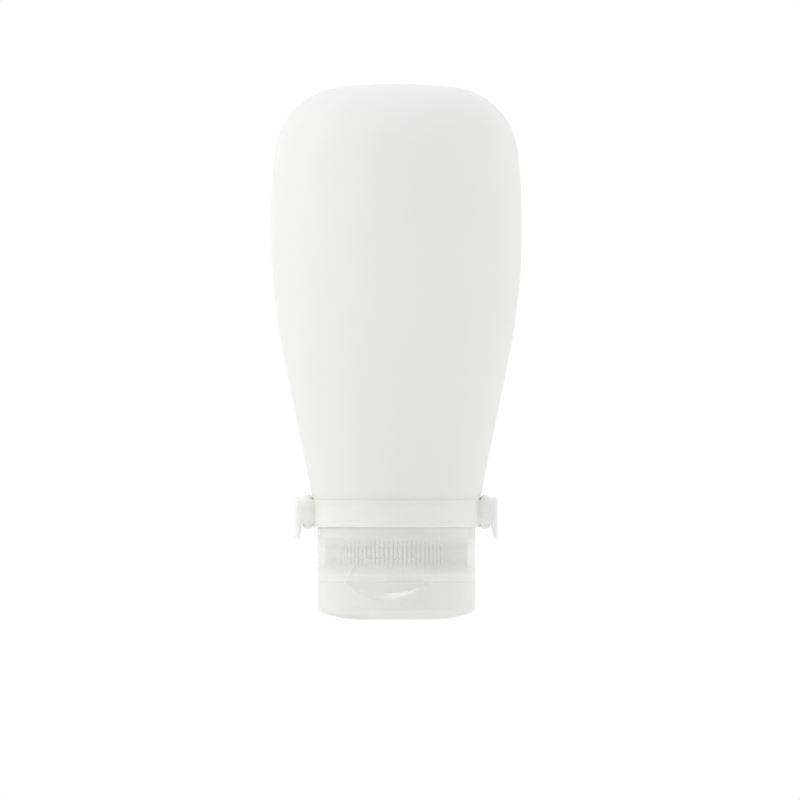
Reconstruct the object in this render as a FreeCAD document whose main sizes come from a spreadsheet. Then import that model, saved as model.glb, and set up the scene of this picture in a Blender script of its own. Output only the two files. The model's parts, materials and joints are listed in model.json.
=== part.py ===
import FreeCAD, Part
import math
import os
import re
import Sketcher

doc = FreeCAD.newDocument("TravelBottle")
sizes = doc.addObject("Spreadsheet::Sheet", "Sizes")

# Driving sizes in millimetres and degrees; the bottle stands cap down, lid face at height zero
driving = [
    ("cap_radius", "15.3", "outer radius of shell and lid"),
    ("cap_clocking", "-6.3", "turn of the cap about the bottle's axis"),
    ("edge_break", "0.15", "small bevel along the parting line"),
    ("lid_height", "7.2", "lid from its end face to the parting line"),
    ("lid_wall", "1.9", "side wall of the lid"),
    ("lid_plate", "1.4", "end plate of the lid"),
    ("lid_flat_radius", "6.9", "flat middle of the end face"),
    ("lid_crown", "23.3", "crown arc round the flat"),
    ("lid_corner", "1.6", "rounded outer edge of the end face"),
    ("lid_haunch", "1.5", "rise of the plate into the side wall"),
    ("lid_play", "0.3", "room round nozzle and pin"),
    ("skirt_wall", "1.0", "sealing skirt round the nozzle"),
    ("parting_gap", "0.15", "between lid and shell"),
    ("shell_height", "10.4", "shell from parting line to rim"),
    ("shell_wall", "1.45", "side wall of the shell"),
    ("deck_thickness", "1.3", "deck across the shell"),
    ("nozzle_radius", "3.4", "outside of the nozzle"),
    ("nozzle_length", "2.45", "nozzle below the deck"),
    ("orifice_radius", "1.75", "pouring hole"),
    ("scoop_bottom", "3.6", "lowest point of the thumb scoop"),
    ("scoop_rise", "4.6", "parting line to the scoop's ledge"),
    ("scoop_depth", "1.1", "scoop at the parting line"),
    ("ledge_depth", "0.42", "scoop under its ledge"),
    ("scoop_axis", "11.2", "centre of the scoop's curve behind the cap's axis"),
    ("seat_share", "0.692", "valve's retaining wall as a share of the washer's bore"),
    ("seat_wall", "0.75", "thickness of that wall"),
    ("snap_lip", "0.3", "undercut that holds the retainer"),
    ("valve_flange", "0.8", "thickness of the valve's flange"),
    ("valve_rise", "1.15", "dome above the flange"),
    ("valve_skin", "0.5", "thin slit skin"),
    ("slit_share", "1.43", "each cut of the cross slit against the dome's flat"),
    ("slit_width", "0.16", "width of a cut"),
    ("retainer_height", "1.1", "retainer ring"),
    ("retainer_width", "1.35", "retainer ring, radially"),
    ("seat_fit", "0.1", "valve and retainer in their wall"),
    ("liner_thickness", "0.9", "sealing washer"),
    ("liner_width", "3.4", "sealing washer, radially"),
    ("liner_play", "0.4", "washer inside the closure"),
    ("lip_gap", "0.05", "spout lip over the washer"),
    ("core_gap", "0.35", "closure to the insert's flange"),
    ("core_wall", "1.4", "closure wall outside the thread"),
    ("core_fit", "0.05", "closure inside the shell"),
    ("rib_count", "96", "fine ribs round the closure"),
    ("rib_depth", "0.35", "depth between ribs"),
    ("rib_share", "0.62", "part of the pitch taken by a groove"),
    ("thread_pitch", "3.0", "single start, right hand"),
    ("thread_depth", "0.8", "height of the ridges"),
    ("thread_base", "2.0", "ridge at its foot"),
    ("thread_crest", "0.9", "ridge at its top"),
    ("thread_play", "0.3", "ridge top to the facing wall"),
    ("thread_root", "0.3", "ridge sunk into its wall"),
    ("thread_lead", "1.15", "spout lip to the middle of the first ridge"),
    ("spout_room", "0.4", "outer thread's end to the flange"),
    ("core_room", "0.1", "inner thread's end to the closure's end"),
    ("spout_wall", "1.9", "wall of the spout"),
    ("flange_thickness", "1.1", "flange of the neck insert"),
    ("flange_play", "0.35", "flange inside the shell"),
    ("tube_lock", "0.8", "locking bead proud of the tube"),
    ("bead_height", "2.0", "locking bead along the tube"),
    ("bead_land", "0.8", "straight part of the bead"),
    ("collar_low_gap", "0.15", "cap rim to collar"),
    ("collar_top_gap", "0.25", "collar to shoulder"),
    ("collar_height", "5.5", "collar ring"),
    ("collar_proud", "1.0", "collar outside the cap"),
    ("collar_play", "0.35", "collar round the neck"),
    ("collar_top_round", "0.8", "upper outer edge of the collar"),
    ("collar_low_round", "0.5", "lower outer edge of the collar"),
    ("boss_radius", "3.35", "round boss on each side"),
    ("boss_offset", "0.4", "boss clear of the collar's face"),
    ("boss_thickness", "1.65", "boss along its axis"),
    ("boss_round", "0.72", "rounded edges of the boss"),
    ("stem_share", "0.4", "stem radius as a share of the collar's height"),
    ("boss_share", "0.545", "boss axis as a share of the collar's height"),
    ("plate_thickness", "1.35", "outer plate on each boss"),
    ("plate_height", "7.85", "outer plate, up and down"),
    ("plate_width", "9.0", "outer plate, front to back"),
    ("plate_drop", "2.1", "plate below the collar's underside"),
    ("plate_corner", "2.4", "corner radius of the plate"),
    ("plate_round", "0.5", "rounded rim of the plate"),
    ("neck_gap", "0.25", "silicone neck inside the cap's rim"),
    ("body_wall", "2.2", "silicone wall"),
    ("shoulder_proud", "0.1", "body outside the collar where it leaves it"),
    ("shoulder_round", "0.5", "edge of the shoulder"),
    ("belly_radius", "24.35", "widest radius of the body"),
    ("taper_slope", "0.199", "widening of the straight taper for each unit of height"),
    ("belly_arc", "130", "long side curve"),
    ("corner_rise", "14.5", "widest place to where the corner curve begins"),
    ("corner_arc", "14", "corner curve"),
    ("crown_arc", "100", "curve of the closed end"),
    ("hinge_half_width", "3.2", "half the width of the hinge strip"),
    ("hinge_thickness", "0.4", "hinge strip"),
    ("hinge_leaf", "1.15", "strip above and below the parting line"),
    ("hinge_bead", "0.3", "bead along the bending line"),
    ("hinge_room", "0.06", "strip in its notch"),
]

# Sizes that follow from the driving ones
derived = [
    ("deck_low", "=lid_height + parting_gap"),
    ("deck_top", "=deck_low + deck_thickness"),
    ("rim_height", "=deck_low + shell_height"),
    ("hinge_line", "=lid_height + parting_gap / 2"),
    ("shell_bore", "=cap_radius - shell_wall"),
    ("lid_bore", "=cap_radius - lid_wall"),
    ("corner_mid", "=cap_radius - lid_corner"),
    ("crown_reach", "=lid_crown - lid_corner"),
    ("crown_drop", "=sqrt(crown_reach ^ 2 - (corner_mid - lid_flat_radius) ^ 2)"),
    ("lid_side_start", "=lid_crown - crown_drop"),
    ("crown_end_radius", "=lid_flat_radius + (corner_mid - lid_flat_radius) * lid_crown / crown_reach"),
    ("crown_end_height", "=lid_crown - crown_drop * lid_crown / crown_reach"),
    ("skirt_bore", "=nozzle_radius + lid_play"),
    ("skirt_top", "=deck_low - 3 * lid_play"),
    ("pin_radius", "=orifice_radius - lid_play"),
    ("pin_top", "=deck_low - lid_play"),
    ("scoop_floor", "=cap_radius - scoop_depth"),
    ("ledge_floor", "=cap_radius - ledge_depth"),
    ("ledge_height", "=deck_low + scoop_rise"),
    ("spout_lip", "=deck_top + liner_thickness + lip_gap"),
    ("core_radius", "=shell_bore - core_fit"),
    ("core_bore", "=core_radius - core_wall"),
    ("flange_low", "=rim_height - flange_thickness"),
    ("core_top", "=flange_low - core_gap"),
    ("core_crest", "=core_bore - thread_depth"),
    ("spout_crest", "=core_bore - thread_play"),
    ("spout_radius", "=spout_crest - thread_depth"),
    ("spout_bore", "=spout_radius - spout_wall"),
    ("spout_ridge", "=spout_lip + thread_lead"),
    ("core_ridge", "=spout_ridge + thread_pitch / 2 + thread_pitch * cap_clocking / 360"),
    ("spout_turns", "=(flange_low - spout_ridge - thread_base / 2 - spout_room) / thread_pitch"),
    ("core_turns", "=(core_top - core_ridge - thread_base / 2 - core_room) / thread_pitch"),
    ("liner_radius", "=core_bore - liner_play"),
    ("liner_bore", "=liner_radius - liner_width"),
    ("seat_radius", "=liner_bore * seat_share"),
    ("retainer_low", "=deck_top + valve_flange"),
    ("retainer_top", "=retainer_low + retainer_height"),
    ("insert_radius", "=seat_radius - seat_fit"),
    ("retainer_bore", "=insert_radius - retainer_width"),
    ("dome_radius", "=retainer_bore - 2 * seat_fit"),
    ("dome_top", "=retainer_low + valve_rise"),
    ("slit_length", "=slit_share * (dome_radius - 3 * valve_skin)"),
    ("flange_radius", "=shell_bore - flange_play"),
    ("collar_low", "=rim_height + collar_low_gap"),
    ("collar_top", "=collar_low + collar_height"),
    ("collar_radius", "=cap_radius + collar_proud"),
    ("neck_radius", "=shell_bore - neck_gap"),
    ("collar_bore", "=neck_radius + collar_play"),
    ("shoulder_height", "=collar_top + collar_top_gap"),
    ("shoulder_radius", "=collar_radius + shoulder_proud"),
    ("tube_radius", "=neck_radius - body_wall"),
    ("floor_height", "=shoulder_height + body_wall"),
    ("tube_end", "=floor_height + bead_height"),
    ("boss_axis", "=collar_low + collar_height * boss_share"),
    ("stem_radius", "=collar_height * stem_share"),
    ("boss_start", "=collar_radius + boss_offset"),
    ("plate_start", "=boss_start + boss_thickness"),
    ("plate_low", "=collar_low - plate_drop"),
    ("plate_top", "=plate_low + plate_height"),
    ("taper_cosine", "=1 / sqrt(1 + taper_slope ^ 2)"),
    ("taper_end_radius", "=belly_radius - belly_arc * (1 - taper_cosine)"),
    ("taper_end_height", "=shoulder_height + (taper_end_radius - shoulder_radius) / taper_slope"),
    ("belly_centre", "=belly_radius - belly_arc"),
    ("belly_level", "=taper_end_height + belly_arc * taper_slope * taper_cosine"),
    ("corner_level", "=belly_level + corner_rise"),
    ("side_end_radius", "=belly_centre + sqrt(belly_arc ^ 2 - corner_rise ^ 2)"),
    ("corner_share", "=1 - corner_arc / belly_arc"),
    ("corner_across", "=belly_centre + (side_end_radius - belly_centre) * corner_share"),
    ("corner_up", "=belly_level + corner_rise * corner_share"),
    ("crown_centre", "=corner_up - sqrt((crown_arc - corner_arc) ^ 2 - corner_across ^ 2)"),
    ("crown_share", "=crown_arc / (crown_arc - corner_arc)"),
    ("corner_end_radius", "=corner_across * crown_share"),
    ("corner_end_height", "=crown_centre + (corner_up - crown_centre) * crown_share"),
    ("body_top", "=crown_centre + crown_arc"),
    ("inner_share", "=1 - body_wall / belly_arc"),
    ("inner_taper_radius", "=belly_centre + (taper_end_radius - belly_centre) * inner_share"),
    ("inner_taper_height", "=belly_level + (taper_end_height - belly_level) * inner_share"),
    ("inner_side_radius", "=belly_centre + (side_end_radius - belly_centre) * inner_share"),
    ("inner_side_height", "=belly_level + corner_rise * inner_share"),
    ("inner_corner_share", "=1 - body_wall / corner_arc"),
    ("inner_corner_radius", "=corner_across + (corner_end_radius - corner_across) * inner_corner_share"),
    ("inner_corner_height", "=corner_up + (corner_end_height - corner_up) * inner_corner_share"),
    ("floor_radius", "=inner_taper_radius - taper_slope * (inner_taper_height - floor_height)"),
    ("hinge_radius", "=cap_radius"),
    ("hinge_seat", "=cap_radius - hinge_thickness"),
    ("leaf_low", "=hinge_line - hinge_leaf"),
    ("leaf_top", "=hinge_line + hinge_leaf"),
]

for row, (alias, text, note) in enumerate(driving, 1):
    sizes.set("A%d" % row, alias)
    sizes.set("B%d" % row, text)
    sizes.set("C%d" % row, note)
    sizes.setAlias("B%d" % row, alias)
doc.recompute()
for row, (alias, text) in enumerate(derived, len(driving) + 2):
    sizes.set("A%d" % row, alias)
    sizes.set("B%d" % row, text)
    sizes.setAlias("B%d" % row, alias)
    doc.recompute()

aliases = [row[0] for row in driving + derived]


# Small helpers shared by all sub-parts
def sized(text):
    words = re.split(r"([a-z_]+)", text)
    return "".join("Sizes." + word if word in aliases else word for word in words)


def measure(text):
    return float(sizes.evalExpression(sized(text)))


def drive(thing, prop, text):
    thing.setExpression(prop, sized(text))


def new_body(label, clocked=False):
    body = doc.addObject("PartDesign::Body", label)
    body.Label = label
    upright = FreeCAD.Rotation(FreeCAD.Vector(0, 0, 1), 0)
    body.Placement = FreeCAD.Placement(FreeCAD.Vector(0, 0, 0), upright)
    if clocked:
        drive(body, "Placement.Rotation.Angle", "cap_clocking")
    return body


def origin_feature(body, role):
    return [feature for feature in body.Origin.OriginFeatures if feature.Role == role][0]


def new_sketch(body, name, role="XZ_Plane", offset=None):
    sketch = body.newObject("Sketcher::SketchObject", name)
    sketch.AttachmentSupport = (origin_feature(body, role), [""])
    sketch.MapMode = "FlatFace"
    if offset:
        drive(sketch, "AttachmentOffset.Base.z", offset)
    return sketch


def pin_point(sketch, side, end, across, up, tag):
    for kind, axis, text, word in (("DistanceX", -2, across, "across"), ("DistanceY", -1, up, "up")):
        if text == "0":
            sketch.addConstraint(Sketcher.Constraint("PointOnObject", side, end, axis))
        else:
            rule = Sketcher.Constraint(kind, -1, 1, side, end, measure(text))
            number = sketch.addConstraint(rule)
            sketch.renameConstraint(number, "%s_%s" % (word, tag))
            drive(sketch, "Constraints.%s_%s" % (word, tag), text)


def pin_radius(sketch, side, text, tag):
    number = sketch.addConstraint(Sketcher.Constraint("Radius", side, measure(text)))
    sketch.renameConstraint(number, "radius_%s" % tag)
    drive(sketch, "Constraints.radius_%s" % tag, text)


def short_arc(start, finish, radius, leftward):
    chord = finish - start
    reach = math.sqrt(max(radius ** 2 - (chord.Length / 2) ** 2, 0))
    normal = FreeCAD.Vector(-chord.y, chord.x, 0).normalize()
    centre = (start + finish) * 0.5 + normal * (reach if leftward else -reach)
    first, last = (start, finish) if leftward else (finish, start)
    begin = math.atan2(first.y - centre.y, first.x - centre.x)
    end = math.atan2(last.y - centre.y, last.x - centre.x)
    if end < begin:
        end += 2 * math.pi
    return Part.ArcOfCircle(Part.Circle(centre, FreeCAD.Vector(0, 0, 1), radius), begin, end)


# A closed outline through corners given as pairs of size texts
# arcs maps a side's number to its radius and turn
def outline(sketch, corners, arcs=None, tag=""):
    arcs = arcs or {}
    points = [FreeCAD.Vector(measure(across), measure(up), 0) for across, up in corners]
    sides = []
    for number, start in enumerate(points):
        finish = points[(number + 1) % len(points)]
        if number in arcs:
            radius, turn = arcs[number]
            side = sketch.addGeometry(short_arc(start, finish, measure(radius), turn == "left"), False)
            sides.append((side, 1, 2) if turn == "left" else (side, 2, 1))
        else:
            side = sketch.addGeometry(Part.LineSegment(start, finish), False)
            sides.append((side, 1, 2))
    for number, (side, first, last) in enumerate(sides):
        after, begin, _ = sides[(number + 1) % len(sides)]
        sketch.addConstraint(Sketcher.Constraint("Coincident", side, last, after, begin))
    for number, (across, up) in enumerate(corners):
        side, first, last = sides[number]
        pin_point(sketch, side, first, across, up, "%s%d" % (tag, number))
        if number in arcs:
            pin_radius(sketch, side, arcs[number][0], "%s%d" % (tag, number))
    doc.recompute()


def turned(body, name, sketch, kind="PartDesign::Revolution", axis="V_Axis", angle=360):
    feature = body.newObject(kind, name)
    feature.Profile = sketch
    feature.ReferenceAxis = (sketch, [axis])
    feature.Angle = angle
    if angle != 360:
        feature.Midplane = True
    doc.recompute()
    return feature


def extruded(body, name, sketch, length, kind="PartDesign::Pad", midplane=False, flipped=False):
    feature = body.newObject(kind, name)
    feature.Profile = sketch
    drive(feature, "Length", length)
    feature.Midplane = midplane
    feature.Reversed = flipped
    doc.recompute()
    return feature


def threaded(body, name, wall, crest, level, turns):
    sketch = new_sketch(body, name + "_sketch")
    outline(sketch, [
        (wall, "%s - thread_base / 2" % level),
        (crest, "%s - thread_crest / 2" % level),
        (crest, "%s + thread_crest / 2" % level),
        (wall, "%s + thread_base / 2" % level),
    ])
    feature = body.newObject("PartDesign::AdditiveHelix", name)
    feature.Profile = sketch
    feature.ReferenceAxis = (sketch, ["V_Axis"])
    feature.Mode = "pitch-turns-angle"
    drive(feature, "Pitch", "thread_pitch")
    drive(feature, "Turns", turns)
    feature.LeftHanded = False
    feature.Reversed = False
    doc.recompute()
    return feature


def axis_line(sketch, start, finish, tag):
    points = [FreeCAD.Vector(measure(across), measure(up), 0) for across, up in (start, finish)]
    side = sketch.addGeometry(Part.LineSegment(points[0], points[1]), True)
    pin_point(sketch, side, 1, start[0], start[1], tag + "a")
    pin_point(sketch, side, 2, finish[0], finish[1], tag + "b")


def must_shrink(body, before, name):
    if body.Shape.Volume > before - 0.01:
        raise RuntimeError(name + " removes nothing")


# Soft squeeze body: neck, flat shoulder, straight taper, belly, rounded closed end, even wall
squeeze_body = new_body("squeeze_body")
body_sketch = new_sketch(squeeze_body, "body_outline")
outline(body_sketch, [
    ("tube_radius", "rim_height"),
    ("neck_radius", "rim_height"),
    ("neck_radius", "shoulder_height"),
    ("shoulder_radius - shoulder_round", "shoulder_height"),
    ("shoulder_radius + taper_slope * shoulder_round", "shoulder_height + shoulder_round"),
    ("taper_end_radius", "taper_end_height"),
    ("side_end_radius", "corner_level"),
    ("corner_end_radius", "corner_end_height"),
    ("0", "body_top"),
    ("0", "body_top - body_wall"),
    ("inner_corner_radius", "inner_corner_height"),
    ("inner_side_radius", "inner_side_height"),
    ("inner_taper_radius", "inner_taper_height"),
    ("floor_radius", "floor_height"),
    ("tube_radius", "floor_height"),
], {
    3: ("shoulder_round", "left"),
    5: ("belly_arc", "left"),
    6: ("corner_arc", "left"),
    7: ("crown_arc", "left"),
    9: ("crown_arc - body_wall", "right"),
    10: ("corner_arc - body_wall", "right"),
    11: ("belly_arc - body_wall", "right"),
})
turned(squeeze_body, "body_shell", body_sketch)

# Rigid neck insert: threaded spout, flange under the silicone lip, tube with a locking bead
neck_insert = new_body("neck_insert")
insert_sketch = new_sketch(neck_insert, "insert_outline")
outline(insert_sketch, [
    ("spout_bore", "spout_lip"),
    ("spout_radius - edge_break", "spout_lip"),
    ("spout_radius", "spout_lip + edge_break"),
    ("spout_radius", "flange_low"),
    ("flange_radius", "flange_low"),
    ("flange_radius", "rim_height"),
    ("tube_radius", "rim_height"),
    ("tube_radius", "floor_height"),
    ("tube_radius + tube_lock", "floor_height"),
    ("tube_radius + tube_lock", "floor_height + bead_land"),
    ("tube_radius - tube_lock / 2", "tube_end"),
    ("spout_bore", "tube_end"),
])
turned(neck_insert, "insert_tube", insert_sketch)
spout_foot = "spout_radius - thread_root"
threaded(neck_insert, "spout_thread", spout_foot, "spout_crest", "spout_ridge", "spout_turns")

# Collar ring with a boss and an outer plate on each side
hanger_ring = new_body("hanger_ring")
ring_sketch = new_sketch(hanger_ring, "ring_outline")
outline(ring_sketch, [
    ("collar_bore", "collar_low"),
    ("collar_radius - collar_low_round", "collar_low"),
    ("collar_radius", "collar_low + collar_low_round"),
    ("collar_radius", "collar_top - collar_top_round"),
    ("collar_radius - collar_top_round", "collar_top"),
    ("collar_bore", "collar_top"),
], {
    1: ("collar_low_round", "left"),
    3: ("collar_top_round", "left"),
})
turned(hanger_ring, "ring_band", ring_sketch)
boss_sketch = new_sketch(hanger_ring, "boss_outline")
outline(boss_sketch, [
    ("(collar_bore + collar_radius) / 2", "boss_axis"),
    ("plate_start + plate_thickness / 2", "boss_axis"),
    ("plate_start + plate_thickness / 2", "boss_axis + boss_radius - boss_round"),
    ("plate_start", "boss_axis + boss_radius - boss_round"),
    ("plate_start - boss_round", "boss_axis + boss_radius"),
    ("boss_start + boss_round", "boss_axis + boss_radius"),
    ("boss_start", "boss_axis + boss_radius - boss_round"),
    ("boss_start", "boss_axis + stem_radius"),
    ("(collar_bore + collar_radius) / 2", "boss_axis + stem_radius"),
], {
    3: ("boss_round", "left"),
    5: ("boss_round", "left"),
})
axis_line(boss_sketch, ("collar_bore", "boss_axis"), ("plate_start", "boss_axis"), "axis")
boss = turned(hanger_ring, "boss", boss_sketch, axis="Axis0")
plate_sketch = new_sketch(hanger_ring, "plate_outline", "YZ_Plane", "plate_start")
outline(plate_sketch, [
    ("plate_corner - plate_width / 2", "plate_low"),
    ("plate_width / 2 - plate_corner", "plate_low"),
    ("plate_width / 2", "plate_low + plate_corner"),
    ("plate_width / 2", "plate_top - plate_corner"),
    ("plate_width / 2 - plate_corner", "plate_top"),
    ("plate_corner - plate_width / 2", "plate_top"),
    ("0 - plate_width / 2", "plate_top - plate_corner"),
    ("0 - plate_width / 2", "plate_low + plate_corner"),
], {number: ("plate_corner", "left") for number in (1, 3, 5, 7)})
plate = extruded(hanger_ring, "plate", plate_sketch, "plate_thickness")
second_side = hanger_ring.newObject("PartDesign::Mirrored", "second_side")
second_side.Originals = [boss, plate]
second_side.MirrorPlane = (origin_feature(hanger_ring, "YZ_Plane"), [""])
hanger_ring.Tip = second_side
doc.recompute()
outer_face = measure("plate_start + plate_thickness")
rim_edges = [
    "Edge%d" % number
    for number, edge in enumerate(second_side.Shape.Edges, 1)
    if abs(abs(edge.CenterOfMass.x) - outer_face) < 0.001
]
plate_rims = hanger_ring.newObject("PartDesign::Fillet", "plate_rims")
plate_rims.Base = (second_side, rim_edges)
drive(plate_rims, "Radius", "plate_round")
doc.recompute()

# Clear cap shell: side wall, deck, nozzle below it and the valve's snap wall above it
cap_shell = new_body("cap_shell", clocked=True)
shell_sketch = new_sketch(cap_shell, "shell_outline")
outline(shell_sketch, [
    ("orifice_radius", "deck_low - nozzle_length"),
    ("nozzle_radius", "deck_low - nozzle_length"),
    ("nozzle_radius", "deck_low"),
    ("cap_radius - edge_break", "deck_low"),
    ("cap_radius", "deck_low + edge_break"),
    ("cap_radius", "rim_height - edge_break"),
    ("cap_radius - edge_break", "rim_height"),
    ("shell_bore", "rim_height"),
    ("shell_bore", "deck_top"),
    ("seat_radius + seat_wall", "deck_top"),
    ("seat_radius + seat_wall", "retainer_top + 3 * snap_lip"),
    ("seat_radius", "retainer_top + 3 * snap_lip"),
    ("seat_radius - snap_lip", "retainer_top + 2 * snap_lip"),
    ("seat_radius - snap_lip", "retainer_top + snap_lip"),
    ("seat_radius", "retainer_top"),
    ("seat_radius", "deck_top"),
    ("orifice_radius", "deck_top"),
])
turned(cap_shell, "shell_wall_and_deck", shell_sketch)


# Thumb scoop: one shallow curve across the front, cut into shell and lid from the parting line
def thumb_scoop(body, name, corners):
    sketch = new_sketch(body, name + "_outline", "YZ_Plane")
    outline(sketch, corners)
    axis_line(sketch, ("scoop_axis", "lid_height"), ("scoop_axis", "ledge_height"), "axis")
    before = body.Shape.Volume
    turned(body, name, sketch, "PartDesign::Groove", "Axis0", 70)
    must_shrink(body, before, name)


# Notch for the hinge strip: a flat across the back, on both sides of the parting line
def hinge_notch(body, name, low, top):
    sketch = new_sketch(body, name + "_outline", "YZ_Plane")
    outline(sketch, [
        ("hinge_seat", low),
        ("hinge_radius + 1", low),
        ("hinge_radius + 1", top),
        ("hinge_seat", top),
    ])
    before = body.Shape.Volume
    extruded(body, name, sketch, "2 * (hinge_half_width + hinge_room)", "PartDesign::Pocket", midplane=True)
    must_shrink(body, before, name)


thumb_scoop(cap_shell, "shell_scoop", [
    ("0 - scoop_floor", "lid_height"),
    ("0 - scoop_floor", "deck_low"),
    ("0 - ledge_floor", "ledge_height"),
    ("0 - cap_radius - 2", "ledge_height"),
    ("0 - cap_radius - 2", "lid_height"),
])
hinge_notch(cap_shell, "shell_notch", "lid_height", "leaf_top + hinge_room")

# Ribbed closure with the inner thread, seated on the deck inside the shell
screw_core = new_body("screw_core", clocked=True)
core_sketch = new_sketch(screw_core, "core_outline")
outline(core_sketch, [
    ("core_bore", "deck_top"),
    ("core_radius", "deck_top"),
    ("core_radius", "core_top"),
    ("core_bore", "core_top"),
])
turned(screw_core, "core_ring", core_sketch)
rib_sketch = new_sketch(screw_core, "rib_outline", "XY_Plane", "deck_top")
outline(rib_sketch, [
    ("core_radius - rib_depth", "0"),
    ("core_radius + rib_depth", "0 - 2 * rib_share * core_radius * pi / rib_count"),
    ("core_radius + rib_depth", "2 * rib_share * core_radius * pi / rib_count"),
])
rib_volume = screw_core.Shape.Volume
rib_reach = "core_top - deck_top"
rib_groove = extruded(screw_core, "rib_groove", rib_sketch, rib_reach, "PartDesign::Pocket", flipped=True)
must_shrink(screw_core, rib_volume, "rib_groove")
rib_pattern = screw_core.newObject("PartDesign::PolarPattern", "rib_pattern")
rib_pattern.Originals = [rib_groove]
rib_pattern.Axis = (origin_feature(screw_core, "Z_Axis"), [""])
rib_pattern.Angle = 360
drive(rib_pattern, "Occurrences", "rib_count")
screw_core.Tip = rib_pattern
doc.recompute()
threaded(screw_core, "core_thread", "core_bore + thread_root", "core_crest", "core_ridge", "core_turns")

# Sealing washer on the deck
cap_liner = new_body("cap_liner", clocked=True)
liner_sketch = new_sketch(cap_liner, "liner_outline")
outline(liner_sketch, [
    ("liner_bore", "deck_top"),
    ("liner_radius", "deck_top"),
    ("liner_radius", "deck_top + liner_thickness"),
    ("liner_bore", "deck_top + liner_thickness"),
])
turned(cap_liner, "liner_washer", liner_sketch)

# Cross-slit valve: flange on the deck, low dome with a thin top
slit_valve = new_body("slit_valve", clocked=True)
valve_sketch = new_sketch(slit_valve, "valve_outline")
outline(valve_sketch, [
    ("dome_radius - 2 * valve_skin", "deck_top"),
    ("insert_radius", "deck_top"),
    ("insert_radius", "retainer_low"),
    ("dome_radius", "retainer_low"),
    ("dome_radius - valve_skin", "dome_top"),
    ("0", "dome_top"),
    ("0", "dome_top - valve_skin"),
    ("dome_radius - 3 * valve_skin", "dome_top - valve_skin"),
])
turned(slit_valve, "valve_dome", valve_sketch)
slits = [
    ("slit_one", "slit_length", "slit_width"),
    ("slit_two", "slit_width", "slit_length"),
]
for name, across, up in slits:
    slit_sketch = new_sketch(slit_valve, name + "_outline", "XY_Plane", "dome_top")
    outline(slit_sketch, [
        ("0 - %s / 2" % across, "0 - %s / 2" % up),
        ("%s / 2" % across, "0 - %s / 2" % up),
        ("%s / 2" % across, "%s / 2" % up),
        ("0 - %s / 2" % across, "%s / 2" % up),
    ])
    slit_volume = slit_valve.Shape.Volume
    extruded(slit_valve, name, slit_sketch, "valve_skin + slit_width", "PartDesign::Pocket")
    must_shrink(slit_valve, slit_volume, name)

# Ring that snaps over the valve's flange
valve_retainer = new_body("valve_retainer", clocked=True)
retainer_sketch = new_sketch(valve_retainer, "retainer_outline")
outline(retainer_sketch, [
    ("retainer_bore", "retainer_low"),
    ("insert_radius", "retainer_low"),
    ("insert_radius", "retainer_top - edge_break"),
    ("insert_radius - edge_break", "retainer_top"),
    ("retainer_bore", "retainer_top"),
])
turned(valve_retainer, "retainer_ring", retainer_sketch)

# Flip lid: crowned end plate, side wall, skirt round the nozzle and a sealing pin
flip_lid = new_body("flip_lid", clocked=True)
lid_sketch = new_sketch(flip_lid, "lid_outline")
outline(lid_sketch, [
    ("0", "0"),
    ("lid_flat_radius", "0"),
    ("crown_end_radius", "crown_end_height"),
    ("cap_radius", "lid_side_start"),
    ("cap_radius", "lid_height - edge_break"),
    ("cap_radius - edge_break", "lid_height"),
    ("lid_bore", "lid_height"),
    ("lid_bore", "lid_plate + lid_haunch"),
    ("lid_flat_radius + lid_haunch", "lid_plate"),
    ("skirt_bore + skirt_wall", "lid_plate"),
    ("skirt_bore + skirt_wall", "skirt_top"),
    ("skirt_bore", "skirt_top"),
    ("skirt_bore", "lid_plate"),
    ("pin_radius", "lid_plate"),
    ("pin_radius", "pin_top - lid_play"),
    ("pin_radius - lid_play", "pin_top"),
    ("0", "pin_top"),
], {
    1: ("lid_crown", "left"),
    2: ("lid_corner", "left"),
})
turned(flip_lid, "lid_cup", lid_sketch)
thumb_scoop(flip_lid, "lid_scoop", [
    ("0 - cap_radius", "scoop_bottom"),
    ("0 - scoop_floor", "lid_height"),
    ("0 - scoop_floor", "deck_low"),
    ("0 - cap_radius - 2", "deck_low"),
    ("0 - cap_radius - 2", "scoop_bottom"),
])
hinge_notch(flip_lid, "lid_notch", "leaf_low - hinge_room", "deck_low")

# Hinge strip across the back with a bead along its bending line
hinge_film = new_body("hinge_film", clocked=True)
film_sketch = new_sketch(hinge_film, "film_outline", "YZ_Plane")
outline(film_sketch, [
    ("hinge_seat", "leaf_low"),
    ("hinge_radius", "leaf_low"),
    ("hinge_radius", "leaf_top"),
    ("hinge_seat", "leaf_top"),
])
extruded(hinge_film, "film_strip", film_sketch, "2 * hinge_half_width", midplane=True)
bead_sketch = new_sketch(hinge_film, "film_bead_outline", "YZ_Plane")
bead_middle = FreeCAD.Vector(measure("hinge_radius"), measure("hinge_line"), 0)
bead_circle = Part.Circle(bead_middle, FreeCAD.Vector(0, 0, 1), measure("hinge_bead"))
bead_side = bead_sketch.addGeometry(bead_circle, False)
pin_point(bead_sketch, bead_side, 3, "hinge_radius", "hinge_line", "bead")
pin_radius(bead_sketch, bead_side, "hinge_bead", "bead")
extruded(hinge_film, "film_bead", bead_sketch, "2 * hinge_half_width", midplane=True)

bodies = [
    squeeze_body, neck_insert, hanger_ring, cap_shell, screw_core,
    cap_liner, slit_valve, valve_retainer, flip_lid, hinge_film,
]
doc.recompute()

# Every object is sound before anything is written
for thing in doc.Objects:
    if "Invalid" in thing.State or "Error" in thing.State:
        raise RuntimeError(thing.Name + " failed to build")
for body in bodies:
    if body.Shape.isNull() or not body.Shape.isValid() or len(body.Shape.Solids) != 1:
        raise RuntimeError(body.Label + " is not one sound solid")

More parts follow.
